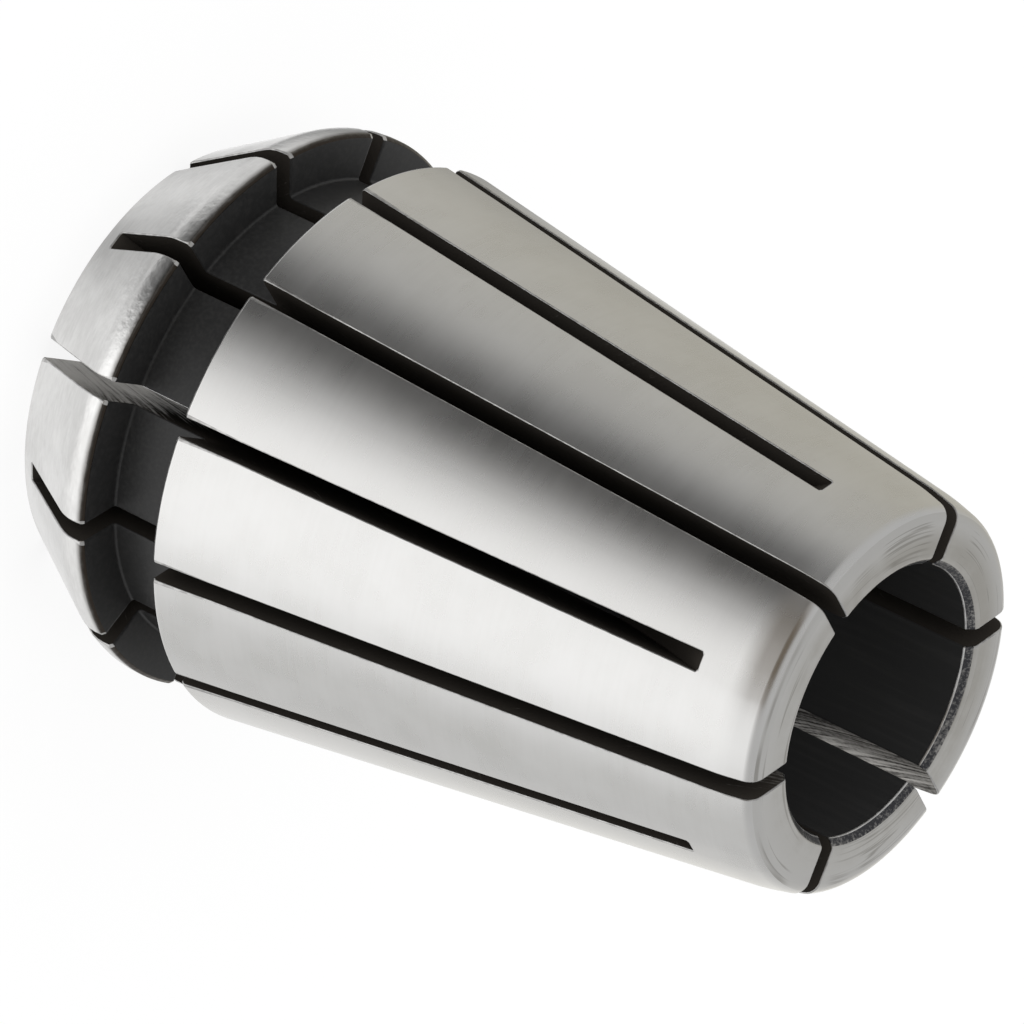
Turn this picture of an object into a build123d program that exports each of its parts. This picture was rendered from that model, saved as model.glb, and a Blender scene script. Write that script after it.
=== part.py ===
from build123d import *
from math import radians, sqrt, tan
import os

# ER20 spring collet for a 10 mm shank: one turned, slotted and ground piece of spring steel.
#
# The collet stands on its front face. Its origin is the centre of that face, +Z runs along the
# bore to the small end, and +X is midway between two slots. From the front it has the 30 degree
# cone that the nut bears on, a narrow rim, the groove that the nut's ring pulls it out by, and
# the 8 degree taper that closes it. Two sets of saw slots, one from each end, lie between each
# other and make it spring.

# ---- driving dimensions, in millimetres and degrees -----------------------------------------

collet_length = 31.5  # front face to small end face

rim_diameter = 20.9
rim_width = 0.84  # the band between the head's cone and the groove
head_length = 4.65  # front face to the groove's front wall
head_half_angle = 30.0  # the cone that the nut bears on

groove_diameter = 17.5
groove_width = 3.2

taper_diameter = 21.0  # large end of the clamping taper
taper_half_angle = 8.0

bore_diameter = 10.0
front_bore_chamfer = 0.4
rear_bore_chamfer = 0.3

cone_to_rim_round = 0.6
groove_edge_chamfer = 0.12  # the rim's and the taper's edges at the groove
groove_corner_round = 0.2
nose_round = 0.7  # taper to small end face

slots_per_end = 6
slot_width = 0.7
front_web = 0.65  # metal left before the front face, where a rear slot ends on the outside
rear_web = 2.8  # metal left before the small end face, where a front slot ends on the outside

saw_diameter = 50.0  # the slitting saw, whose rim gives the closed ends of the slots their arc
saw_overcut = 1.5  # how far the saw's rim passes the bore's wall

# ---- radii and heights that follow from them -------------------------------------------------

bore_radius = bore_diameter / 2
rim_radius = rim_diameter / 2
groove_radius = groove_diameter / 2
taper_radius = taper_diameter / 2

head_slope = tan(radians(head_half_angle))  # radius gained for each millimetre along the head
taper_slope = tan(radians(taper_half_angle))  # radius lost for each millimetre along the taper

rim_start = head_length - rim_width
front_face_radius = rim_radius - rim_start * head_slope
taper_start = head_length + groove_width
small_end_radius = taper_radius - (collet_length - taper_start) * taper_slope

# ---- turned blank ----------------------------------------------------------------------------

# Each corner of the half section, as radius, height and the radius that rounds it.
half_section = [
    (bore_radius + front_bore_chamfer, 0, 0),
    (front_face_radius, 0, 0),
    (rim_radius, rim_start, cone_to_rim_round),
    (rim_radius, head_length - groove_edge_chamfer, 0),
    (rim_radius - groove_edge_chamfer, head_length, 0),
    (groove_radius, head_length, groove_corner_round),
    (groove_radius, taper_start, groove_corner_round),
    (taper_radius - groove_edge_chamfer, taper_start, 0),
    (taper_radius - groove_edge_chamfer * taper_slope, taper_start + groove_edge_chamfer, 0),
    (small_end_radius, collet_length, nose_round),
    (bore_radius + rear_bore_chamfer, collet_length, 0),
    (bore_radius, collet_length - rear_bore_chamfer, 0),
    (bore_radius, front_bore_chamfer, 0),
]

# ---- saw slots -------------------------------------------------------------------------------

saw_radius = saw_diameter / 2
kerf_bottom = bore_radius - saw_overcut  # lowest reach of the saw's rim, inside the bore
kerf_top = taper_radius + 1.0  # just clear of the largest diameter
kerf_run_in = 1.0  # the saw starts this far off the end that it enters
saw_centre = kerf_bottom + saw_radius


def rim_run(radius):
    """Distance along Z from the saw's centre to its rim, at a radius of the collet."""
    return sqrt(saw_radius**2 - (saw_centre - radius) ** 2)


# Where the closed ends break the outside: rear slots on the head's cone, front ones on the taper.
front_web_radius = front_face_radius + front_web * head_slope
rear_web_radius = small_end_radius + rear_web * taper_slope

rear_slot_saw_height = front_web + rim_run(front_web_radius)
front_slot_saw_height = collet_length - rear_web - rim_run(rear_web_radius)


def saw_kerf(entry_height, saw_height, side):
    """Solid that the saw clears in the half plane +X of the axis.

    It enters at entry_height and its centre stops at saw_height. side is +1 where it has
    travelled up the collet and -1 where it has travelled down.
    """
    kerf_end = saw_height + side * rim_run(kerf_top)
    with BuildPart() as kerf:
        with BuildSketch(Plane.XZ):
            with BuildLine():
                Line((kerf_top, entry_height), (kerf_bottom, entry_height))
                Line((kerf_bottom, entry_height), (kerf_bottom, saw_height))
                RadiusArc((kerf_bottom, saw_height), (kerf_top, kerf_end), side * saw_radius)
                Line((kerf_top, kerf_end), (kerf_top, entry_height))
            make_face()
        extrude(amount=slot_width / 2, both=True)
    return kerf.part


front_kerf = saw_kerf(-kerf_run_in, front_slot_saw_height, 1)
rear_kerf = saw_kerf(collet_length + kerf_run_in, rear_slot_saw_height, -1)

slot_pitch = 360 / slots_per_end
first_rear_slot = slot_pitch / 4  # so that +X is midway between two slots
first_front_slot = first_rear_slot + slot_pitch / 2

# ---- collet ----------------------------------------------------------------------------------

with BuildPart() as collet:
    with BuildSketch(Plane.XZ):
        with BuildLine():
            FilletPolyline(
                *[(radius, height) for radius, height, _ in half_section],
                radius=[rounding for _, _, rounding in half_section],
                close=True,
            )
        make_face()
    revolve(axis=Axis.Z)

    with PolarLocations(0, slots_per_end, start_angle=first_rear_slot):
        add(rear_kerf, mode=Mode.SUBTRACT)
    with PolarLocations(0, slots_per_end, start_angle=first_front_slot):
        add(front_kerf, mode=Mode.SUBTRACT)

# ---- output ----------------------------------------------------------------------------------

os.makedirs("parts", exist_ok=True)
collet.part.label = "collet"
export_step(collet.part, "parts/collet.step")
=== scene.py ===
"""Spring collet with a 10 mm bore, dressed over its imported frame.

The collet is one piece of ground steel. Half of one lamella, from the middle of a rear slot to
the middle of the front slot next to it, is meshed with the edges of its slots broken. A
Geometry Nodes tree mirrors that half and repeats it round the axis. The collet is made in
millimetres, and its finished mesh is then brought to metres.
"""

import logging
from dataclasses import dataclass, field
from enum import Enum
from math import asin, cos, degrees, hypot, pi, radians, sin, sqrt, tan
from typing import Any, Callable
import bmesh
import bpy
from mathutils import Matrix, Vector


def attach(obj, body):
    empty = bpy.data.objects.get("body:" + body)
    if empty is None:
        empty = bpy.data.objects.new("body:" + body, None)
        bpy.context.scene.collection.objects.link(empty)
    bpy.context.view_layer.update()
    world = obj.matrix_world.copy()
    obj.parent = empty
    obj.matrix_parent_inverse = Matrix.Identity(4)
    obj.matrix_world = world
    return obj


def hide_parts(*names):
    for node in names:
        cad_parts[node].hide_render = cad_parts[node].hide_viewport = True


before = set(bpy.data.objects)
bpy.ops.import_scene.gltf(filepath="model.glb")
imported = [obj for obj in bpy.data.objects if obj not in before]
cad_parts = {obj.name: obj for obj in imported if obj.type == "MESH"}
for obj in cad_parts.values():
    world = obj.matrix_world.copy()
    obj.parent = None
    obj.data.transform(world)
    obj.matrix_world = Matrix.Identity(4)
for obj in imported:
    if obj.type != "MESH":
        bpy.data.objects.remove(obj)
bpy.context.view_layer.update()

log = logging.getLogger("collet")

METRES = 0.001  # one millimetre

Point = tuple[float, float]  # radius and height, in millimetres
Colour = tuple[float, float, float, float]
Vertex = bmesh.types.BMVert


# ---- arithmetic on node sockets ----


def _operator(operation: str, reflected: bool = False) -> Callable[["Wire", Any], "Wire"]:
    """Make an operator method that adds a Math node.

    Args:
        operation: The node's operation.
        reflected: True where the wire stands second.

    Returns:
        The method.
    """

    def operate(self: "Wire", other: Any) -> "Wire":
        """Work on this value and another."""
        return self.math(operation, *((other, self) if reflected else (self, other)))

    return operate


class Wire:
    """An output socket that takes part in Python arithmetic by adding Math nodes."""

    def __init__(self, bench: "Bench", node: bpy.types.Node, output: int | str = 0) -> None:
        """Hold one output socket of a node on a bench."""
        self.bench, self.node = bench, node
        self.socket = node.outputs[output]

    def out(self, output: int | str) -> "Wire":
        """Another output of the same node."""
        return Wire(self.bench, self.node, output)

    def math(self, operation: str, *values: Any) -> "Wire":
        """Add a Math node that works on the given values."""
        return self.bench.make("ShaderNodeMath", dict(enumerate(values)), operation=operation)

    __add__, __radd__ = _operator("ADD"), _operator("ADD", reflected=True)
    __sub__, __rsub__ = _operator("SUBTRACT"), _operator("SUBTRACT", reflected=True)
    __mul__, __rmul__ = _operator("MULTIPLY"), _operator("MULTIPLY", reflected=True)
    __truediv__, __rtruediv__ = _operator("DIVIDE"), _operator("DIVIDE", reflected=True)

    def root(self) -> "Wire":
        """Square root."""
        return self.math("SQRT", self)

    def size(self) -> "Wire":
        """Absolute value."""
        return self.math("ABSOLUTE", self)

    def turn(self, other: Any) -> "Wire":
        """Angle whose tangent is this value over the other, in radians."""
        return self.math("ARCTAN2", self, other)

    def rise(self, start: float, end: float) -> "Wire":
        """Smooth step from 0 to 1.

        Args:
            start: Value at which the step begins.
            end: Value at which it is complete. It may be below start.

        Returns:
            The stepped value.
        """
        falls = float(end < start)
        span = {1: min(start, end), 2: max(start, end), 3: falls, 4: 1.0 - falls}
        return self.bench.make(
            "ShaderNodeMapRange", {0: self, **span}, interpolation_type="SMOOTHSTEP"
        )


class Bench:
    """Adds nodes to one tree, for a material, the world or Geometry Nodes."""

    def __init__(self, tree: bpy.types.NodeTree) -> None:
        """Start on an empty tree."""
        self.tree = tree
        tree.nodes.clear()

    def make(
        self,
        kind: str,
        sockets: dict[int | str, Any] | None = None,
        output: int | str = 0,
        **settings: Any,
    ) -> Wire | None:
        """Add one node.

        Args:
            kind: The node's type.
            sockets: Values or wires for its inputs, by index or name.
            output: The output that the returned wire starts from.
            settings: Its properties, set first. "stops" are a ramp's positions and colours, in
                rising order.

        Returns:
            A wire from the node, or None where it has no output.
        """
        node = self.tree.nodes.new(kind)
        stops = settings.pop("stops", ())
        for name, value in settings.items():
            setattr(node, name, value)
        for k, (position, colour) in enumerate(stops):
            ramp = node.color_ramp.elements
            stop = ramp[k] if k < len(ramp) else ramp.new(position)
            stop.position, stop.color = position, colour
        for key, value in (sockets or {}).items():
            if isinstance(value, Wire):
                self.tree.links.new(value.socket, node.inputs[key])
            else:
                node.inputs[key].default_value = value
        return Wire(self, node, output) if node.outputs else None

    def mix(self, share: Any, first: Any, second: Any) -> Wire:
        """Mix two colours, by the share of the second."""
        sockets = {0: share, 6: first, 7: second}
        return self.make("ShaderNodeMix", sockets, output=2, data_type="RGBA")


# ---- sizes and the turned outline ----


class Finish(Enum):
    """How a stretch of the collet's surface is finished."""

    GROUND = 0
    BLACKENED = 1
    BORE = 2
    TURNED = 3
    CHAMFER = 4
    EDGE = 5
    REAR_SAWN = 6
    FRONT_SAWN = 7
    HEAD = 8
    BORE_EDGE = 9


@dataclass(frozen=True)
class ColletSizes:
    """Sizes of the collet: its solid's, and the roundings that only the looks have."""

    length: float = 31.5
    rim_radius: float = 10.45
    rim_width: float = 0.84
    head_length: float = 4.65
    head_half_angle: float = 30.0
    groove_radius: float = 8.75
    groove_width: float = 3.2
    taper_radius: float = 10.5  # of its large end
    taper_half_angle: float = 8.0
    bore_radius: float = 5.0
    front_bore_chamfer: float = 0.4
    rear_bore_chamfer: float = 0.3
    cone_to_rim_round: float = 1.6  # polished wider than the solid's 0.6
    groove_edge_chamfer: float = 0.12
    groove_corner_round: float = 0.11  # the solid has 0.2
    nose_round: float = 0.6  # the solid has one round of 0.7
    nose_lead_angle: float = 6.0  # what polishing turns the taper in by, ahead of that round
    nose_lead_length: float = 1.25
    nose_lead_round: float = 7.0
    slots_per_end: int = 6
    slot_half: float = 0.35  # half the width of a slot
    front_web: float = 0.65
    rear_web: float = 2.8
    saw_radius: float = 25.0
    saw_overcut: float = 1.5
    edge_round: float = 0.08  # turned edges, where the solid is sharp
    bore_edge_round: float = 0.11  # the bore's edges
    chamfer_edge_round: float = 0.2  # where its chamfers meet the end faces
    slot_break: float = 0.05  # the slots' edges, where the solid is sharp
    corner_dressing: float = 0.13  # what the slots' breaks gain at the lamellas' corners
    corner_reach: float = 0.2  # how far from those corners that gain fades
    end_corner: float = 0.1  # what the corners of a slot's closed end are filled in by

    @property
    def half_pitch(self) -> float:
        """Angle between a slot and the next one, from the other end, in radians."""
        return radians(360 / self.slots_per_end / 2)

    @property
    def head_slope(self) -> float:
        """Radius gained for each millimetre along the head's cone."""
        return tan(radians(self.head_half_angle))

    @property
    def taper_slope(self) -> float:
        """Radius lost for each millimetre along the taper."""
        return tan(radians(self.taper_half_angle))

    @property
    def rim_start(self) -> float:
        """Height at which the head's cone meets the rim."""
        return self.head_length - self.rim_width

    @property
    def front_face_radius(self) -> float:
        """Outer radius of the front face."""
        return self.rim_radius - self.rim_start * self.head_slope

    @property
    def taper_start(self) -> float:
        """Height of the groove's rear wall."""
        return self.head_length + self.groove_width

    @property
    def small_end_radius(self) -> float:
        """Radius at which the taper would meet the small end face."""
        return self.taper_radius - (self.length - self.taper_start) * self.taper_slope


@dataclass
class Station:
    """One point of the turned outline, and what is needed to step in from it."""

    radius: float
    height: float
    finish: Finish  # of the strip from here to the next station
    step_radius: float = 0.0  # how far an offset of 1 outwards moves the radius
    step_height: float = 0.0
    plain: bool = False  # on a straight run, only there to divide it

    def inside(self, depth: float) -> Point:
        """The point that lies depth under this one."""
        return self.radius - depth * self.step_radius, self.height - depth * self.step_height

    def run_to(self, other: "Station") -> tuple[float, Point]:
        """Length of the straight run to another station, and its outward normal."""
        run_r, run_z = other.radius - self.radius, other.height - self.height
        return (run := hypot(run_r, run_z)), (run_z / run, -run_r / run)


@dataclass(frozen=True)
class Corner:
    """One corner of the turned outline."""

    radius: float
    height: float
    rounding: float
    finish: Finish  # of the run that leaves it
    arc: Finish | None = None  # of its rounding, where that differs from the runs beside it


@dataclass
class Outline:
    """The closed half section of the turned blank, as stations from the bore outwards."""

    sizes: ColletSizes
    longest_run: float = 2.4
    arc_step: float = 13.0  # degrees of an arc for each of its runs
    fewest_arc_runs: int = 3
    stations: list[Station] = field(default_factory=list)

    def __post_init__(self) -> None:
        """Lay out the stations."""
        corners = self._corners()
        count = len(corners)
        arcs = [
            self._arc(corners[i - 1], corners[i], corners[(i + 1) % count]) for i in range(count)
        ]
        for i, points in enumerate(arcs):
            half = len(points) // 2
            for k, (radius, height) in enumerate(points):
                finish = corners[i - 1].finish if k < half else corners[i].finish
                if corners[i].arc is not None and k < len(points) - 1:
                    finish = corners[i].arc
                self.stations.append(Station(radius, height, finish))
            self._divide(points[-1], arcs[(i + 1) % count][0], corners[i].finish)
        self._measure()

    def _corners(self) -> list[Corner]:
        """List the half section's corners.

        Returns:
            The corners, from the bore's front edge outwards and back.
        """
        s = self.sizes
        bore, rim, taper = s.bore_radius, s.rim_radius, s.taper_radius
        head, start, end = s.head_length, s.taper_start, s.length
        front, rear, cut = s.front_bore_chamfer, s.rear_bore_chamfer, s.groove_edge_chamfer
        groove, lead = s.groove_radius, s.nose_lead_length
        edge, lip, worn = s.edge_round, s.chamfer_edge_round, s.bore_edge_round
        lead_radius = s.small_end_radius + lead * s.taper_slope
        nose_radius = lead_radius - lead * tan(radians(s.taper_half_angle + s.nose_lead_angle))
        black, steel, burnished = Finish.BLACKENED, Finish.GROUND, Finish.BORE_EDGE
        return [
            Corner(bore + front, 0, lip, Finish.TURNED, burnished),
            Corner(s.front_face_radius, 0, edge, Finish.HEAD),
            Corner(rim, s.rim_start, s.cone_to_rim_round, Finish.HEAD),
            Corner(rim, head - cut, edge, Finish.HEAD),
            Corner(rim - cut, head, edge, black),
            Corner(groove, head, s.groove_corner_round, black),
            Corner(groove, start, s.groove_corner_round, black),
            Corner(taper - cut, start, edge, Finish.EDGE),
            Corner(taper - cut * s.taper_slope, start + cut, edge, steel),
            Corner(lead_radius, end - lead, s.nose_lead_round, steel),
            Corner(nose_radius, end, s.nose_round, Finish.TURNED),
            Corner(bore + rear, end, lip, Finish.CHAMFER, Finish.TURNED),
            Corner(bore, end - rear, worn, Finish.BORE, burnished),
            Corner(bore, front, worn, Finish.CHAMFER, burnished),
        ]

    def _arc(self, before: Corner, corner: Corner, after: Corner) -> list[Point]:
        """Round a corner.

        Args:
            before: The corner that the outline comes from.
            corner: The corner to round.
            after: The corner that it goes on to.

        Returns:
            Points along the arc.
        """
        come = Vector((corner.radius - before.radius, corner.height - before.height)).normalized()
        go = Vector((after.radius - corner.radius, after.height - corner.height)).normalized()
        turn = come.angle_signed(go)
        tangent = corner.rounding * tan(abs(turn) / 2)
        start = Vector((corner.radius, corner.height)) - come * tangent
        side = 1 if turn > 0 else -1
        centre = start + Vector((come.y, -come.x)) * corner.rounding * side
        runs = max(self.fewest_arc_runs, round(degrees(abs(turn)) / self.arc_step))
        points = []
        for k in range(runs + 1):
            spoke = start - centre
            spoke.rotate(Matrix.Rotation(-turn * k / runs, 2))
            points.append(tuple(centre + spoke))
        return points

    def _divide(self, start: Point, end: Point, finish: Finish) -> None:
        """Put stations along a long straight run.

        Args:
            start: Where it starts.
            end: Where it ends.
            finish: Its finish.
        """
        parts = int(hypot(end[0] - start[0], end[1] - start[1]) // self.longest_run) + 1
        for k in range(1, parts):
            radius, height = (a + (b - a) * (k / parts) for a, b in zip(start, end))
            self.stations.append(Station(radius, height, finish, plain=True))

    def _measure(self) -> None:
        """Work out at each station how its point moves as the outline is offset."""
        pairs = zip(self.stations, [*self.stations[1:], self.stations[0]])
        normals = [here.run_to(there)[1] for here, there in pairs]
        for i, station in enumerate(self.stations):
            (r1, z1), (r2, z2) = normals[i - 1], normals[i]
            spread = 1 + r1 * r2 + z1 * z2
            station.step_radius, station.step_height = (r1 + r2) / spread, (z1 + z2) / spread

    def dressing(self, station: Station) -> float:
        """Width that the slots' edges are broken by.

        Args:
            station: Where along the outline.

        Returns:
            The width, which is greatest at the lamellas' corners.
        """
        s = self.sizes
        radii = (s.taper_radius, s.rim_radius, s.front_face_radius)
        corners = zip(radii, (s.taper_start, s.head_length, 0.0))
        near = min(hypot(station.radius - r, station.height - z) for r, z in corners)
        reach = near / s.corner_reach
        return s.slot_break + s.corner_dressing * 2.0 ** (-reach * reach)


# ---- saw slots ----


class End(Enum):
    """The end of the collet that a slot is sawn in from."""

    FRONT = 1
    REAR = -1


@dataclass
class Kerf:
    """What the slitting saw leaves on one side of a slot's middle plane."""

    sizes: ColletSizes
    end: End

    @property
    def finish(self) -> Finish:
        """Finish of the slot's walls."""
        return Finish.REAR_SAWN if self.end is End.REAR else Finish.FRONT_SAWN

    @property
    def saw_centre(self) -> float:
        """Distance of the saw's centre from the collet's axis."""
        return self.sizes.bore_radius - self.sizes.saw_overcut + self.sizes.saw_radius

    @property
    def saw_height(self) -> float:
        """Height at which the saw's centre stops.

        Returns:
            The height, from which the slot's closed end follows.
        """
        s = self.sizes
        if self.end is End.REAR:
            return s.front_web + self.run(s.front_face_radius + s.front_web * s.head_slope)
        reach = s.small_end_radius + s.rear_web * s.taper_slope
        return s.length - s.rear_web - self.run(reach)

    def run(self, reach: float) -> float:
        """Distance along the axis from the saw's centre to its rim, at a reach from the axis."""
        return sqrt(max(0.0, self.sizes.saw_radius**2 - (self.saw_centre - reach) ** 2))

    def bottom(self, reach: float) -> float:
        """Height of the slot's closed end, at a reach from the axis."""
        return self.saw_height + self.end.value * self.run(reach)

    def clearance(self, radius: float, height: float) -> float:
        """How far a point on the slot's wall lies inside the slot; it is in the metal below 0."""
        reach = sqrt(radius**2 - self.sizes.slot_half**2)
        return (self.bottom(reach) - height) * self.end.value

    def place(self, point: Point, off: float) -> Vector:
        """Place a point of the half lamella on this slot's side.

        Args:
            point: Its radius and height.
            off: Its distance from the slot's middle plane.

        Returns:
            The point in space, in millimetres.
        """
        reach = sqrt(point[0] ** 2 - off**2)
        if self.end is End.REAR:
            return Vector((reach, off, point[1]))
        turned = Matrix.Rotation(self.sizes.half_pitch, 3, "Z")
        return turned @ Vector((reach, -off, point[1]))


@dataclass
class Crossing:
    """Where a slot's closed end comes out through the turned surface."""

    station: Station  # the first one past the slot, on the web
    entering: bool  # True where the outline goes on into the slot
    wall_point: Point  # where the slot's wall ends, under its broken edge
    half_point: Point  # the middle of the broken edge there
    row: int = 0  # the station's number


# ---- the half lamella ----


class HalfLamella:
    """Mesh of the metal between a rear slot's middle plane and the next front slot's."""

    columns = 13  # across the skin, between the two slots' edges
    arc_runs = 14  # along the closed end of a slot
    half_break = 1 - sqrt(0.5)  # how deep the middle of a rounded edge lies, of its break
    halvings = 40  # of the run that a slot's end crosses, to find where
    # finishes whose slot edges are dressed; the others keep their own finish there
    bright = (Finish.GROUND, Finish.HEAD, Finish.TURNED, Finish.EDGE, Finish.BORE_EDGE)

    def __init__(self, sizes: ColletSizes) -> None:
        """Lay out the outline and the two slots.

        Args:
            sizes: The collet's sizes.
        """
        self.sizes = sizes
        self.outline = Outline(sizes)
        self.stations = self.outline.stations
        self.kerfs = {end: Kerf(sizes, end) for end in End}
        self.bm = bmesh.new()
        self.finish_layer = self.bm.faces.layers.int.new("finish")
        self.crossings = {end: self._cut(kerf) for end, kerf in self.kerfs.items()}
        count = len(self.stations)
        self.open_rows: dict[End, list[int]] = {}  # the rows that lie in each slot, in order
        for end, pair in self.crossings.items():
            for crossing in pair:
                crossing.row = [s is crossing.station for s in self.stations].index(True)
            first, last = (crossing.row for crossing in pair)
            self.open_rows[end] = [(first + k) % count for k in range(1, (last - first) % count)]
        self.skin: list[list[Vertex | None]] = []

    def _cut(self, kerf: Kerf) -> list[Crossing]:
        """Find where a kerf crosses the outline, and add stations past each crossing.

        Args:
            kerf: The slot.

        Returns:
            Where the outline goes into the slot, and where it leaves it.
        """
        count, depth = len(self.stations), self.sizes.slot_break
        is_open = [kerf.clearance(*station.inside(depth)) > 0 for station in self.stations]
        crossings = []
        for i in reversed(range(count)):
            entering = is_open[(i + 1) % count]
            if entering != is_open[i]:
                crossings.append(self._add_rows(kerf, i, entering))
        return sorted(crossings, key=lambda crossing: not crossing.entering)

    def _add_rows(self, kerf: Kerf, i: int, entering: bool) -> Crossing:
        """Add the stations where the skin closes past a slot's end.

        Args:
            kerf: The slot.
            i: The station before the crossing.
            entering: True where the outline goes on into the slot.

        Returns:
            The crossing.
        """
        depth, fill = self.sizes.slot_break, self.sizes.end_corner
        here, there = self.stations[i], self.stations[(i + 1) % len(self.stations)]
        run, normal = here.run_to(there)

        def under(share: float, deep: float) -> Point:
            """The point at a share of the run, and deep under it."""
            axes = ((here.radius, there.radius), (here.height, there.height))
            return tuple(a + (b - a) * share - deep * n for (a, b), n in zip(axes, normal))

        low, high = 0.0, 1.0
        for _ in range(self.halvings):
            middle = (low + high) / 2
            if (kerf.clearance(*under(middle, depth)) > 0) == entering:
                high = middle
            else:
                low = middle
        share = (low + high) / 2
        past = -1 if entering else 1
        outer = share + past * depth / run
        half_share = share + past * depth * self.half_break / run
        row, corner = (
            Station(*under(along, 0.0), here.finish, *normal)
            for along in (outer, outer - past * fill / run)
        )
        self.stations[i + 1 : i + 1] = [row, corner] if entering else [corner, row]
        for near in (here, there):
            gap = hypot(near.radius - row.radius, near.height - row.height)
            if near.plain and gap < 2 * fill:
                self.stations.remove(near)
        half_point = under(half_share, depth * self.half_break)
        return Crossing(row, entering, under(share, depth), half_point)

    def _vertex(self, kerf: Kerf, point: Point, off: float = 0.0) -> Vertex:
        """Add a vertex on a slot's side, at a distance off its middle plane."""
        return self.bm.verts.new(kerf.place(point, off))

    def _middle(self, end: End, k: int) -> Vertex | None:
        """Add a row's vertex on a slot's middle plane, unless the row is open there."""
        point = self.stations[k].inside(0.0)
        return None if k in self.open_rows[end] else self._vertex(self.kerfs[end], point)

    def _broken(self, station: Station) -> Finish:
        """Finish of a slot's broken edge at a station."""
        return Finish.EDGE if station.finish in self.bright else station.finish

    def _face(self, corners: list[Vertex], finish: Finish) -> None:
        """Add a smooth face between vertices, with a finish."""
        face = self.bm.faces.new(corners)
        face[self.finish_layer], face.smooth = finish.value, True

    def _strip(self, first: list[Vertex], second: list[Vertex], finishes: list[Finish]) -> None:
        """Join two rows of vertices by faces of the given finishes."""
        for k, finish in enumerate(finishes):
            self._face([first[k], first[k + 1], second[k + 1], second[k]], finish)

    def _lay_skin(self) -> None:
        """Add the turned surface, row by row, up to the slots' edges where they are open."""
        s, ends = self.sizes, (End.REAR, End.FRONT)
        closing = {end: [crossing.row for crossing in self.crossings[end]] for end in ends}
        for k, station in enumerate(self.stations):
            edge = s.slot_half + self.outline.dressing(station)
            starts = [
                asin((edge - s.end_corner * (k in closing[end])) / station.radius) for end in ends
            ]
            row = [self._middle(End.REAR, k)]
            for column in range(self.columns + 1):
                angle = starts[0] + (s.half_pitch - sum(starts)) * column / self.columns
                spoke = Vector((cos(angle), sin(angle), 0)) * station.radius
                row.append(self.bm.verts.new(spoke + Vector((0, 0, station.height))))
            row.append(self._middle(End.FRONT, k))
            self.skin.append(row)
        for k, upper in enumerate(self.skin):
            lower = self.skin[(k + 1) % len(self.skin)]
            for column in range(len(upper) - 1):
                corners = [upper[column], upper[column + 1], lower[column + 1], lower[column]]
                if None not in corners:
                    self._face(corners, self.stations[k].finish)

    def _lay_slot(self, kerf: Kerf) -> None:
        """Add one side of a slot: its broken edges, its wall and half of its closed end.

        Args:
            kerf: The slot.
        """
        s, rows = self.sizes, self.open_rows[kerf.end]
        half, depth = s.slot_half, s.slot_break
        half_depth, brink_off = depth * self.half_break, half - s.end_corner
        edge_column, middle_column = (1, 0) if kerf.end is End.REAR else (-2, -1)
        entry, leave = self.crossings[kerf.end]
        lip = [self.skin[k][edge_column] for k in (entry.row, *rows, leave.row)]
        bend, brink, closes = [], [], []
        for station in (self.stations[k] for k in rows):
            width = self.outline.dressing(station) * self.half_break
            bend.append(self._vertex(kerf, station.inside(half_depth), half + width))
            brink.append(self._vertex(kerf, station.inside(depth), half))
        for crossing in (entry, leave):
            half_at = [self._vertex(kerf, crossing.half_point, brink_off + half_depth)]
            half_at.append(self._vertex(kerf, crossing.half_point))
            wall_at = [self._vertex(kerf, crossing.wall_point, brink_off)]
            wall_at.append(self._vertex(kerf, crossing.wall_point))
            closes.append((half_at, wall_at))
        (half_in, wall_in), (half_out, wall_out) = closes
        bend, brink = [half_in[0], *bend, half_out[0]], [wall_in[0], *brink, wall_out[0]]
        broken = [self._broken(self.stations[k]) for k in (entry.row, *rows)]
        self._strip(lip, bend, broken)
        self._strip(bend, brink, broken)
        for crossing, (half_at, wall_at) in zip((entry, leave), closes):
            row, broken = self.skin[crossing.row], [self._broken(crossing.station)]
            self._strip([row[edge_column], row[middle_column]], half_at, broken)
            self._strip(half_at, wall_at, broken)

        wall, middle = wall_in[:1], wall_in[1:]
        start, end = (sqrt(crossing.wall_point[0] ** 2 - half**2) for crossing in (entry, leave))
        for k in range(1, self.arc_runs):
            reach = start + (end - start) * k / self.arc_runs
            for column, off in ((wall, half), (middle, 0.0)):
                point = (sqrt(reach**2 + off**2), kerf.bottom(reach))
                column.append(self._vertex(kerf, point, off))
        wall.append(wall_out[0])
        middle.append(wall_out[1])
        self._strip(wall, middle, [kerf.finish] * self.arc_runs)
        self._face([brink[0], brink[1], wall[1]], kerf.finish)
        self._face([brink[-1], brink[-2], wall[-2]], kerf.finish)
        self._face([*brink[1:-1], *reversed(wall[1:-1])], kerf.finish)

    def build(self) -> bpy.types.Mesh:
        """Mesh the half lamella.

        Returns:
            Its mesh, in millimetres, with each face's finish in the attribute "finish".
        """
        self._lay_skin()
        for kerf in self.kerfs.values():
            self._lay_slot(kerf)
        bmesh.ops.recalc_face_normals(self.bm, faces=self.bm.faces)
        mesh = bpy.data.meshes.new("half_lamella")
        self.bm.to_mesh(mesh)
        self.bm.free()
        return mesh


# ---- Geometry Nodes: the lamellas round the axis ----


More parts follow.
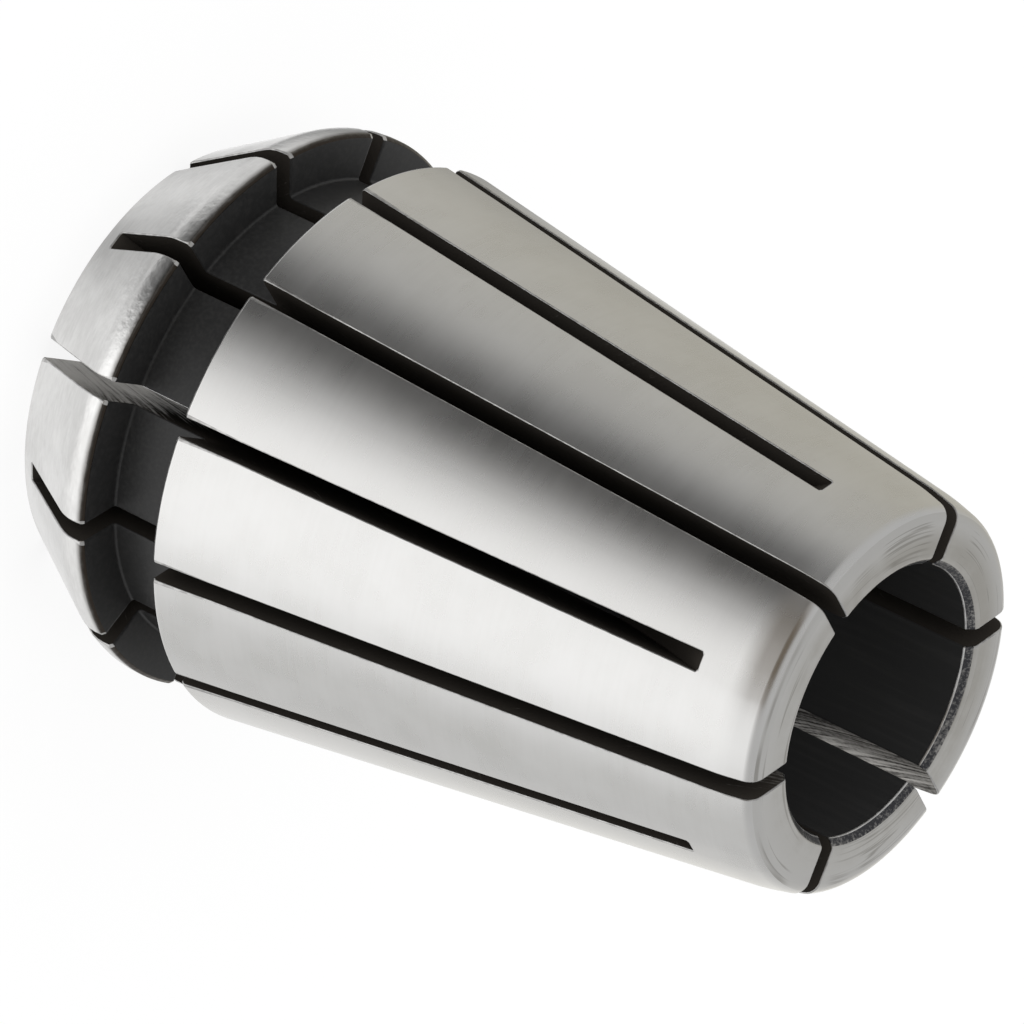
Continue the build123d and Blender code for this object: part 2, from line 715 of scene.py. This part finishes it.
class LamellaRing:
    """Geometry Nodes tree that mirrors the half lamella and repeats it round the axis."""

    seam_width = 2e-4  # millimetres within which the lamellas' edges are one

    def __init__(self, sizes: ColletSizes, finishes: dict[Finish, bpy.types.Material]) -> None:
        """Args:
            sizes: The collet's sizes.
            finishes: The material of each finish, in the order of the mesh's slots.
        """
        self.finishes = finishes
        self.tree = bpy.data.node_groups.new("lamella_ring", "GeometryNodeTree")
        self.inputs: dict[str, Any] = {}
        interface = self.tree.interface
        geometry, number = "NodeSocketGeometry", "NodeSocketFloat"
        interface.new_socket("Half Lamella", in_out="INPUT", socket_type=geometry)
        for name, kind, value in (
            ("Lamellas", "NodeSocketInt", sizes.slots_per_end),
            ("First Slot", number, sizes.half_pitch / 2),
            ("Seam Width", number, self.seam_width),
        ):
            socket = interface.new_socket(name, in_out="INPUT", socket_type=kind)
            self.inputs[socket.identifier] = value
        interface.new_socket("Collet", in_out="OUTPUT", socket_type=geometry)
        self._lay_out(Bench(self.tree).make)

    def _lay_out(self, make: Callable[..., Wire]) -> None:
        """Lay out the tree's nodes.

        Args:
            make: What adds a node to the tree.
        """
        given = make("NodeGroupInput")
        half, count = given.out("Half Lamella"), given.out("Lamellas")
        mirrored = make("GeometryNodeTransform", {"Geometry": half, "Scale": (1, -1, 1)})
        mirrored = make("GeometryNodeFlipFaces", {0: mirrored})
        whole = make("GeometryNodeJoinGeometry")
        for part in (half, mirrored):
            self.tree.links.new(part.socket, whole.node.inputs[0])

        centres = make("GeometryNodeMeshLine", {"Count": count, "Offset": (0, 0, 0)}, mode="OFFSET")
        number = make("GeometryNodeInputIndex")
        turned = number * (2 * pi) / count + given.out("First Slot")
        turn = make("ShaderNodeCombineXYZ", {"Z": turned})
        placed = {"Points": centres, "Instance": whole, "Rotation": turn}
        ring = make("GeometryNodeInstanceOnPoints", placed)
        solid = make("GeometryNodeRealizeInstances", {0: ring})
        seam = {"Geometry": solid, "Distance": given.out("Seam Width")}
        solid = make("GeometryNodeMergeByDistance", seam)
        solid = make("GeometryNodeSetShadeSmooth", {"Geometry": solid})
        named = make("GeometryNodeInputNamedAttribute", {"Name": "finish"}, data_type="INT")
        for finish, material in self.finishes.items():
            values = {2: named, 3: finish.value}
            chosen = make("FunctionNodeCompare", values, data_type="INT", operation="EQUAL")
            dressed = {"Geometry": solid, "Selection": chosen, "Material": material}
            solid = make("GeometryNodeSetMaterial", dressed)
        make("NodeGroupOutput", {"Collet": solid})

    def bake(self, mesh: bpy.types.Mesh, name: str) -> bpy.types.Object:
        """Run the tree on a mesh and keep what it gives as a plain mesh.

        Args:
            mesh: The half lamella.
            name: Name of the finished piece.

        Returns:
            The piece, with no modifier left on it.
        """
        mesh.materials.append(self.finishes[Finish.GROUND])
        piece = bpy.data.objects.new(name, mesh)
        bpy.context.scene.collection.objects.link(piece)
        modifier = piece.modifiers.new("Lamella ring", "NODES")
        modifier.node_group = self.tree
        for identifier, value in self.inputs.items():
            modifier[identifier] = value
        bake_modifiers(piece)
        return piece


def bake_modifiers(piece: bpy.types.Object) -> None:
    """Replace a piece's mesh by what its modifiers give, and remove them.

    Args:
        piece: The piece.
    """
    bpy.context.view_layer.update()
    evaluated = piece.evaluated_get(bpy.context.evaluated_depsgraph_get())
    plain = bpy.data.meshes.new_from_object(evaluated)
    piece.modifiers.clear()
    piece.data = plain
    plain.name = piece.name


# ---- finishes ----


@dataclass(frozen=True)
class Polish:
    """Numbers of a finish that are the same all over it."""

    metallic: float = 1.0
    specular: float = 0.5
    bump_height: float = 1e-6  # metres


class SurfaceFinish:
    """A material whose patterns follow the collet's axis."""

    name: str
    polish: Polish
    shades: tuple[Colour, Colour]  # what its pattern goes between

    def __init__(self, sizes: ColletSizes) -> None:
        """Make the material, from the coordinates that its patterns use.

        Args:
            sizes: The collet's sizes.
        """
        self.sizes = sizes
        self.material = bpy.data.materials.new(self.name)
        self.material.use_nodes = True
        self.bench = Bench(self.material.node_tree)
        make = self.bench.make
        place = {0: make("ShaderNodeTexCoord", output="Object"), "Scale": 1 / METRES}
        self.point = make("ShaderNodeVectorMath", place, operation="SCALE")
        split = make("ShaderNodeSeparateXYZ", {0: self.point})
        self.x, self.y, self.height = (split.out(axis) for axis in "XYZ")
        self.radius = (self.x * self.x + self.y * self.y).root()
        self.dress()

    def dress(self) -> None:
        """Lay the pattern and close the material, in each finish's own way."""
        raise NotImplementedError

    def noise(self, where: Wire, cells: float, detail: float, roughness: float) -> Wire:
        """Noise about 0.5, with so many cells a unit of the place where it is read."""
        sockets = {"Vector": where, "Scale": cells, "Detail": detail, "Roughness": roughness}
        return self.bench.make("ShaderNodeTexNoise", sockets)

    def mottle(self, cells: float, detail: float = 2.0, roughness: float = 0.5) -> Wire:
        """Even noise with so many cells a millimetre."""
        return self.noise(self.point, cells, detail, roughness)

    def grain(
        self, around: float, along: Wire, detail: float = 2.0, roughness: float = 0.5
    ) -> Wire:
        """Noise drawn out round the axis.

        Args:
            around: Cells for each radian round the axis.
            along: Coordinate, in cells, across the grain.
            detail: Octaves of the noise.
            roughness: Share of each finer octave.

        Returns:
            A value from 0 to 1, about 0.5 on average.
        """
        circle = {"X": self.x / self.radius * around, "Y": self.y / self.radius * around}
        where = self.bench.make("ShaderNodeCombineXYZ", {**circle, "Z": along})
        return self.noise(where, 1.0, detail, roughness)

    def shade(self, share: Wire) -> Wire:
        """Colour at a share of the way between the finish's two shades."""
        return self.bench.mix(share, *self.shades)

    def close(self, colour: Wire, roughness: Any, bump: Wire, metallic: Any = None) -> None:
        """Finish the material.

        Args:
            colour: Base colour.
            roughness: Roughness.
            bump: Height of the surface, from 0 to 1, in units of the polish's bump height.
            metallic: Share of bare metal, where that changes over the surface.
        """
        relief = {"Distance": self.polish.bump_height, "Height": bump}
        shader = {
            "Base Color": colour,
            "Metallic": self.polish.metallic if metallic is None else metallic,
            "Roughness": roughness,
            "Specular IOR Level": self.polish.specular,
            "Normal": self.bench.make("ShaderNodeBump", relief),
        }
        surface = self.bench.make("ShaderNodeBsdfPrincipled", shader)
        self.bench.make("ShaderNodeOutputMaterial", {"Surface": surface})


class GroundSteel(SurfaceFinish):
    """Cylindrically ground and polished spring steel, on the clamping taper."""

    name = "ground_taper"
    polish = Polish(bump_height=0.35e-6)
    shades = ((0.67, 0.665, 0.652, 1), (0.72, 0.716, 0.706, 1))

    def dress(self) -> None:
        """Faint grinding lines round the axis over broad clouds."""
        lines = self.grain(3.0, self.height * 6.0, detail=1.0)
        clouds = self.mottle(0.5, detail=3.0)
        colour = self.shade((lines * 0.2 + clouds * 0.8).rise(0.3, 0.7))
        self.close(colour, 0.22 + lines * 0.03 + clouds * 0.09, lines)


class HeadSteel(SurfaceFinish):
    """The head's cone and rim: ground over turning marks that still show as ripples."""

    name = "head_steel"
    polish = Polish(bump_height=3.4e-5)
    shades = ((0.61, 0.605, 0.595, 1), (0.76, 0.756, 0.746, 1))
    oxide = (0.045, 0.037, 0.03, 1)
    oxide_band = (-0.32, 0.02)  # where the oxide sets in, from the rim's rear edge
    peel_band = (2.0, 3.9)  # heights over which the peel grows towards the rim

    def dress(self) -> None:
        """Short ripples round the axis and broad waves, with oxide over the rim's rear edge."""
        ripples = self.grain(20.0, self.height * 8.5, detail=3.0, roughness=0.6)
        clouds = self.mottle(0.35, detail=4.0, roughness=0.6)
        waves = self.mottle(0.75, detail=1.0)
        steel = self.shade((ripples * 0.3 + clouds * 0.7).rise(0.34, 0.66))
        start, end = (self.sizes.head_length + offset for offset in self.oxide_band)
        creep = (self.height + ripples * 0.12).rise(start, end)
        peel = self.mottle(4.5) * (self.height.rise(*self.peel_band) * 0.34 + 0.1)
        relief = waves * 0.85 + ripples * 0.06 + peel
        self.close(self.bench.mix(creep, steel, self.oxide), 0.24 + clouds * 0.12, relief)


class BlackenedSteel(SurfaceFinish):
    """Black oxide on the turned groove."""

    name = "black_oxide_groove"
    polish = Polish(metallic=0.0, specular=0.35, bump_height=1.6e-6)
    shades = ((0.024, 0.024, 0.024, 1), (0.036, 0.0355, 0.035, 1))

    def dress(self) -> None:
        """Turning lines round the axis under an even black."""
        lines = self.grain(2.0, (self.height + self.radius) * 9.0)
        specks = self.mottle(7.0)
        self.close(self.shade(specks.rise(0.35, 0.75)), 0.36 + specks * 0.16, lines)


class BlackenedBore(SurfaceFinish):
    """Black oxide in the honed bore."""

    name = "black_oxide_bore"
    polish = Polish(metallic=0.0, specular=0.3, bump_height=0.8e-6)
    shades = ((0.03, 0.03, 0.03, 1), (0.038, 0.0375, 0.037, 1))

    def dress(self) -> None:
        """An even black with faint marks of insertion along the bore."""
        marks = self.grain(26.0, self.height * 0.25, detail=3.0)
        self.close(self.shade(marks.rise(0.45, 0.75)), 0.4 + marks * 0.15, marks)


class TurnedSteel(SurfaceFinish):
    """Fine turned end faces."""

    name = "turned_steel"
    polish = Polish(bump_height=1.4e-6)
    shades = ((0.47, 0.455, 0.42, 1), (0.63, 0.622, 0.6, 1))
    bright, score = (0.66, 0.655, 0.64, 1), (0.16, 0.145, 0.12, 1)
    polished_band = (5.7, 6.7)  # radii over which the face turns bright

    def dress(self) -> None:
        """Rings of the turning tool round the bore, under a light stain, with painted shade towards
        +X.
        """
        rings = self.grain(0.5, (self.radius + self.height) * 4.2, detail=1.5)
        clouds = self.mottle(0.7, detail=4.0, roughness=0.6)
        # painted shade: the face and nose darker towards +X, lighter towards -X
        colour = self.shade((rings * 0.35 + clouds * 0.65 - self.x * 0.03).rise(0.24, 0.76))
        polished = self.radius.rise(*self.polished_band) * 0.8
        colour = self.bench.mix(polished, colour, self.bright)
        patches = self.mottle(0.32, detail=1.0).rise(0.46, 0.6)
        scores = (rings - 0.5).size().rise(0.04, 0.0) * patches
        colour = self.bench.mix(scores * 0.45, colour, self.score)
        self.close(colour, 0.28 + rings * 0.06 + clouds * 0.1, rings)


class ChamferedSteel(SurfaceFinish):
    """The bore's chamfers, cut through the oxide and dulled."""

    name = "bore_chamfer_steel"
    polish = Polish(bump_height=4e-6)
    shades = ((0.06, 0.061, 0.067, 1), (0.4, 0.392, 0.378, 1))

    def dress(self) -> None:
        """Dark metal with bright specks, more of them out towards the faces."""
        specks = self.mottle(9.0, detail=4.0, roughness=0.7)
        outwards = (self.radius - self.sizes.bore_radius).rise(0.12, 0.3)
        worn = specks * 0.8 + self.mottle(0.9) * 0.2 + outwards * 0.1
        self.close(self.shade(worn.rise(0.46, 0.72)), 0.34 + specks * 0.2, specks)


class DressedEdge(SurfaceFinish):
    """Edges broken by hand, duller than the ground faces beside them."""

    name = "dressed_edge"
    polish = Polish(bump_height=1.2e-6)
    shades = ((0.4, 0.395, 0.39, 1), (0.6, 0.595, 0.585, 1))

    def dress(self) -> None:
        """Worn metal, uneven along its length."""
        wear = self.mottle(3.0, detail=3.0)
        self.close(self.shade(wear.rise(0.35, 0.65)), 0.32 + wear * 0.14, wear)


class BoreEdge(DressedEdge):
    """The edges of the bore's chamfers, burnished bright by the shanks that pass them."""

    name = "bore_edge"
    shades = ((0.6, 0.595, 0.585, 1), (0.8, 0.795, 0.785, 1))


class SawnSteel(SurfaceFinish):
    """Slot walls with the marks of the slitting saw, darkened by heat treatment."""

    polish = Polish(specular=0.0, bump_height=1.2e-5)
    shades = ((0.042, 0.037, 0.032, 1), (0.42, 0.405, 0.38, 1))
    # Painted light: walls near the open end of the slots towards x = -2 are painted brighter.
    painted_light_depths = {End.FRONT: (8.0, 1.5), End.REAR: (15.0, 2.0)}  # depths from the entry: no painted light at the first, full at the second
    painted_light_gain = {End.FRONT: 0.4, End.REAR: 0.28}  # how strongly the painted light lifts the walls towards bright bare metal
    rubbed_side, rubbed_band = -2.0, (3.2, 1.2)  # where along X the painted light sits, and how far from there it fades

    def __init__(self, kerf: Kerf) -> None:
        """Make the material of the slots sawn in from one end."""
        self.kerf, self.name = kerf, f"sawn_slot_{kerf.end.name.lower()}"
        super().__init__(kerf.sizes)

    def dress(self) -> None:
        """Arcs that the saw's rim leaves as it travels along the collet, and painted light."""
        kerf, side = self.kerf, self.kerf.end.value
        drop = kerf.saw_centre - self.radius
        travel = self.height - (self.sizes.saw_radius**2 - drop * drop).root() * side
        where = {"X": travel * 3.4, "Y": self.radius * 0.5}
        marks = self.noise(self.bench.make("ShaderNodeCombineXYZ", where), 1.0, 4.0, 0.62)
        specks = self.mottle(5.0, detail=3.0)
        # painted light: brighter, barer walls near the open end, on the slots towards x = -2
        entry = 0.0 if kerf.end is End.FRONT else self.sizes.length
        rubbed = ((self.height - entry) * side).rise(*self.painted_light_depths[kerf.end])
        rubbed = rubbed * (self.x - self.rubbed_side).size().rise(*self.rubbed_band)
        rubbed = rubbed * self.painted_light_gain[kerf.end]
        # the saw marks' bare metal and the painted light together; both set colour and metallic
        bare_and_painted_light = (marks * 0.78 + specks * 0.22 + rubbed).rise(0.6, 0.92)
        self.close(self.shade(bare_and_painted_light), 0.24 + specks * 0.2, marks, metallic=bare_and_painted_light)


# ---- the collet ----


@dataclass
class SpringCollet:
    """The collet: its mesh, its finishes and its place on the frame."""

    sizes: ColletSizes = field(default_factory=ColletSizes)
    name: str = "spring_collet"
    sharp_angle: float = 50.0  # degrees between faces, past which an edge shades sharp
    normal_weight: int = 80  # how far the larger faces lead the shading, of 100

    def finishes(self) -> dict[Finish, bpy.types.Material]:
        """Make the material of each finish.

        Returns:
            The materials, in the order of the mesh's slots.
        """
        made = {
            Finish.GROUND: GroundSteel(self.sizes),
            Finish.HEAD: HeadSteel(self.sizes),
            Finish.BLACKENED: BlackenedSteel(self.sizes),
            Finish.BORE: BlackenedBore(self.sizes),
            Finish.TURNED: TurnedSteel(self.sizes),
            Finish.CHAMFER: ChamferedSteel(self.sizes),
            Finish.EDGE: DressedEdge(self.sizes),
            Finish.BORE_EDGE: BoreEdge(self.sizes),
            Finish.REAR_SAWN: SawnSteel(Kerf(self.sizes, End.REAR)),
            Finish.FRONT_SAWN: SawnSteel(Kerf(self.sizes, End.FRONT)),
        }
        return {finish: surface.material for finish, surface in made.items()}

    def build(self) -> bpy.types.Object:
        """Make the collet and put it on the frame.

        Returns:
            The finished piece.
        """
        half = HalfLamella(self.sizes).build()
        piece = LamellaRing(self.sizes, self.finishes()).bake(half, self.name)
        self._shade(piece)
        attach(piece, "root")
        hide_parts("collet")
        return piece

    def _shade(self, piece: bpy.types.Object) -> None:
        """Turn the faces outwards, give the edges a smooth highlight, and go over to metres.

        Args:
            piece: The collet, in millimetres.
        """
        bm = bmesh.new()
        bm.from_mesh(piece.data)
        bmesh.ops.recalc_face_normals(bm, faces=bm.faces)
        loose = sum(not edge.is_manifold for edge in bm.edges)
        bm.to_mesh(piece.data)
        bm.free()
        if loose:
            log.warning("%s has %d edges that are not closed", piece.name, loose)
        piece.data.set_sharp_from_angle(angle=radians(self.sharp_angle))
        weighted = piece.modifiers.new("Weighted normals", "WEIGHTED_NORMAL")
        weighted.keep_sharp = True
        weighted.weight = self.normal_weight
        bake_modifiers(piece)
        piece.data.transform(Matrix.Scale(METRES, 4))


# ---- studio ----

Triple = tuple[float, float, float]
Step = tuple[float, float]  # where a smooth step starts, and where it is complete
NEUTRAL: Triple = (1.0, 1.0, 1.0)
WARM: Triple = (1.0, 0.965, 0.85)
FULL_WHITE: Colour = (1.0, 1.0, 1.0, 1.0)


@dataclass(frozen=True)
class Tone:
    """How bright the tent is at one bearing from the camera, seen from above."""

    bearing: float  # degrees, from -180 to 180
    level: float
    tint: Triple = NEUTRAL


@dataclass(frozen=True)
class Patch:
    """A patch of another paper on the tent, as far as all its steps are complete."""

    level: float
    elevations: tuple[Step, ...]  # degrees
    bearings: tuple[Step, ...] = ()  # shares of a full turn from behind the camera
    tint: Triple = NEUTRAL


@dataclass
class Studio:
    """White table, light tent, lamp and camera."""

    tent_radius: float = 0.6
    tent_segments: int = 64
    floor_radius: float = 1.6
    floor_segments: int = 96
    floor_paint: Colour = (0.92, 0.92, 0.92, 1.0)
    floor_glow: float = 1.045
    floor_shown: float = 0.85  # share of the glow, where the rest is paint with the shadow
    room_light: float = 0.65
    lamp_place: Triple = (0.12, 0.22, 0.55)
    lamp_size: float = 0.5
    lamp_energy: float = 1.1
    camera_bearing: float = 94.62  # degrees from +X towards +Y
    camera_sensor: float = 36.0  # millimetres, as the lens
    camera_lens: float = 327.28
    camera_clip: tuple[float, float] = (0.01, 10.0)  # metres
    camera_place: Triple = (-0.0219147, 0.2759350, 0.1812520)
    camera_right: Triple = (0.4710516, -0.4268887, 0.7719300)
    camera_up: Triple = (0.8793945, 0.2958250, -0.3730330)
    tent_gain: float = 1.6  # brightness of a full white on the ramps
    skirt_edge: Step = (-23.0, -31.0)  # elevations over which the sides become the skirt
    sides: tuple[Tone, ...] = (
        Tone(-178, 0.95), Tone(-166, 0.62, (1.0, 0.97, 0.87)), Tone(-150, 0.56, WARM),
        Tone(-116, 0.55, WARM), Tone(-66, 0.53, (1.0, 0.99, 0.955)), Tone(-54, 0.26),
        Tone(-44, 0.07), Tone(-30, 0.05), Tone(-20, 0.22), Tone(-8, 0.82), Tone(8, 1.32),
        Tone(34, 1.32), Tone(56, 1.28), Tone(72, 1.05), Tone(88, 0.78),
        Tone(100, 0.69, (1.0, 1.0, 0.985)), Tone(124, 0.7), Tone(150, 0.88, (1.0, 0.99, 0.965)),
        Tone(172, 1.14, (1.0, 0.985, 0.93)),
    )  # fmt: skip
    skirt: tuple[Tone, ...] = (
        Tone(-178, 1.75), Tone(-166, 1.55), Tone(-152, 0.25), Tone(-134, 0.4), Tone(-108, 0.98),
        Tone(-74, 0.83), Tone(-60, 0.42), Tone(-49, 0.15), Tone(-26, 0.06), Tone(-14, 0.2),
        Tone(-6, 0.6), Tone(3, 1.5), Tone(14, 1.6), Tone(60, 1.5), Tone(80, 1.25),
        Tone(130, 0.98), Tone(150, 0.92), Tone(170, 1.05),
    )  # fmt: skip
    patches: tuple[Patch, ...] = (
        Patch(1.0, ((-44.0, -60.0),)),  # the ground under the collet, and a ring round it
        Patch(0.55, ((-60.0, -68.0), (-83.0, -76.0)), ((0.0, 0.08), (0.52, 0.44))),
        Patch(0.58, ((-12.0, 30.0),)),  # the roof
        Patch(0.12, ((-27.0, -30.0), (-35.0, -32.5)), ((0.1, 0.06),)),  # the eaves
        Patch(  # the camera's opening
            0.16, ((-11.0, 8.0), (50.0, 34.0)), ((0.4, 0.45), (0.6, 0.55)), (1.0, 0.8, 0.58)
        ),
    )

    def _paper(self, level: float, tint: Triple) -> Colour:
        """Colour of the tent's paper, before its gain."""
        return (*(level / self.tent_gain * share for share in tint), 1.0)

    def _round(self, bench: Bench, bearing: Wire, tones: tuple[Tone, ...]) -> Wire:
        """Colour of tones laid out by their bearing, in rising order, before the tent's gain."""
        stops = [(t.bearing / 360 + 0.5, self._paper(t.level, t.tint)) for t in tones]
        return bench.make("ShaderNodeValToRGB", {0: bearing}, stops=stops)

    @staticmethod
    def _seen(bench: Bench) -> Wire:
        """1 for the rays of the camera, of gloss and of glass, and 0 for the others."""
        ray = bench.make("ShaderNodeLightPath").out
        return ray("Is Camera Ray") + ray("Is Glossy Ray") + ray("Is Transmission Ray")

    def light_tent(self) -> None:
        """Hang a paper tent that only reflections see: white below, and toned round the sides."""
        tent, bench = self._stage_piece(
            "light_tent",
            bmesh.ops.create_uvsphere,
            u_segments=self.tent_segments,
            v_segments=self.tent_segments // 2,
            radius=self.tent_radius,
        )
        place = bench.make("ShaderNodeTexCoord", output="Object")
        split = bench.make("ShaderNodeSeparateXYZ", {0: place})
        x, y, z = (split.out(axis) for axis in "XYZ")
        start = radians(self.camera_bearing)
        ahead = x * cos(start) + y * sin(start)
        aside = y * cos(start) - x * sin(start)
        bearing = aside.turn(ahead) / (2 * pi) + 0.5
        elevation = z.turn((x * x + y * y).root()) * (180 / pi)
        sides = self._round(bench, bearing, self.sides)
        skirt = self._round(bench, bearing, self.skirt)
        paper = bench.mix(elevation.rise(*self.skirt_edge), sides, skirt)
        for patch in self.patches:
            cover = 1.0
            for step in patch.elevations:
                cover = cover * elevation.rise(*step)
            for step in patch.bearings:
                cover = cover * bearing.rise(*step)
            paper = bench.mix(cover, paper, self._paper(patch.level, patch.tint))
        glow = bench.make("ShaderNodeEmission", {"Color": paper, "Strength": self.tent_gain})
        bench.make("ShaderNodeOutputMaterial", {"Surface": glow})
        for kind in ("camera", "diffuse", "shadow", "transmission", "volume_scatter"):
            setattr(tent, f"visible_{kind}", False)

    def table(self) -> None:
        """Set a pale table top that keeps the collet's shadow and reads as white."""
        top, bench = self._stage_piece(
            "table_top",
            bmesh.ops.create_circle,
            cap_ends=True,
            segments=self.floor_segments,
            radius=self.floor_radius,
        )
        paint = bench.make("ShaderNodeBsdfDiffuse", {"Color": self.floor_paint})
        white = {"Color": FULL_WHITE, "Strength": self.floor_glow}
        glow = bench.make("ShaderNodeEmission", white)
        shown = self._seen(bench) * self.floor_shown
        both = bench.make("ShaderNodeMixShader", {0: shown, 1: paint, 2: glow})
        bench.make("ShaderNodeOutputMaterial", {"Surface": both})
        top.visible_glossy = False

    @staticmethod
    def _stage_piece(
        name: str, shape: Callable[..., Any], **sizes: Any
    ) -> tuple[bpy.types.Object, Bench]:
        """Make an object that belongs to the stage and not to the collet.

        Args:
            name: Its name, and its material's.
            shape: The bmesh operator that makes its mesh.
            sizes: What that operator is given.

        Returns:
            The object, and the bench of its material.
        """
        bm = bmesh.new()
        shape(bm, **sizes)
        mesh = bpy.data.meshes.new(name)
        bm.to_mesh(mesh)
        bm.free()
        material = bpy.data.materials.new(name)
        material.use_nodes = True
        mesh.materials.append(material)
        piece = bpy.data.objects.new(name, mesh)
        bpy.context.scene.collection.objects.link(piece)
        return piece, Bench(material.node_tree)

    def lamp(self) -> None:
        """Hang a soft lamp overhead, which gives the table its shadow."""
        data = bpy.data.lights.new("soft_lamp", "AREA")
        data.shape, data.size, data.energy = "DISK", self.lamp_size, self.lamp_energy
        lamp = bpy.data.objects.new("soft_lamp", data)
        lamp.location = self.lamp_place
        lamp.rotation_euler = (-lamp.location).to_track_quat("-Z", "Y").to_euler()
        lamp.visible_glossy = False
        bpy.context.scene.collection.objects.link(lamp)

    def room(self) -> None:
        """Make a white room: full white where it is seen, and plain light on the collet."""
        world = bpy.data.worlds.new("room")
        world.use_nodes = True
        bench = Bench(world.node_tree)
        felt, seen = (
            bench.make("ShaderNodeBackground", {"Color": FULL_WHITE, "Strength": strength})
            for strength in (self.room_light, 1.0)
        )
        both = bench.make("ShaderNodeMixShader", {0: self._seen(bench), 1: felt, 2: seen})
        bench.make("ShaderNodeOutputWorld", {"Surface": both})
        bpy.context.scene.world = world

    def camera(self) -> None:
        """Set up a long lens over the small end, rolled so that the collet lies across it."""
        data = bpy.data.cameras.new("camera")
        data.sensor_width, data.lens = self.camera_sensor, self.camera_lens
        data.clip_start, data.clip_end = self.camera_clip
        camera = bpy.data.objects.new("camera", data)
        bpy.context.scene.collection.objects.link(camera)
        right, up = Vector(self.camera_right), Vector(self.camera_up)
        turned = Matrix((right, up, right.cross(up))).transposed().to_quaternion()
        camera.matrix_world = Matrix.LocRotScale(Vector(self.camera_place), turned, None)
        bpy.context.scene.camera = camera

    def build(self) -> None:
        """Set up the stage, the light and the camera."""
        self.light_tent()
        self.table()
        self.lamp()
        self.room()
        self.camera()
        bpy.context.scene.view_settings.view_transform = "Standard"


# ---- run ----


def main() -> None:
    """Build the collet and its studio."""
    logging.basicConfig(level=logging.INFO, format="%(name)s: %(message)s")
    Studio().build()
    piece = SpringCollet().build()
    counts = (len(piece.data.vertices), len(piece.data.polygons), len(piece.data.materials))
    log.info("%s: %d vertices, %d faces, %d finishes", piece.name, *counts)


if __name__ == "__main__":
    main()
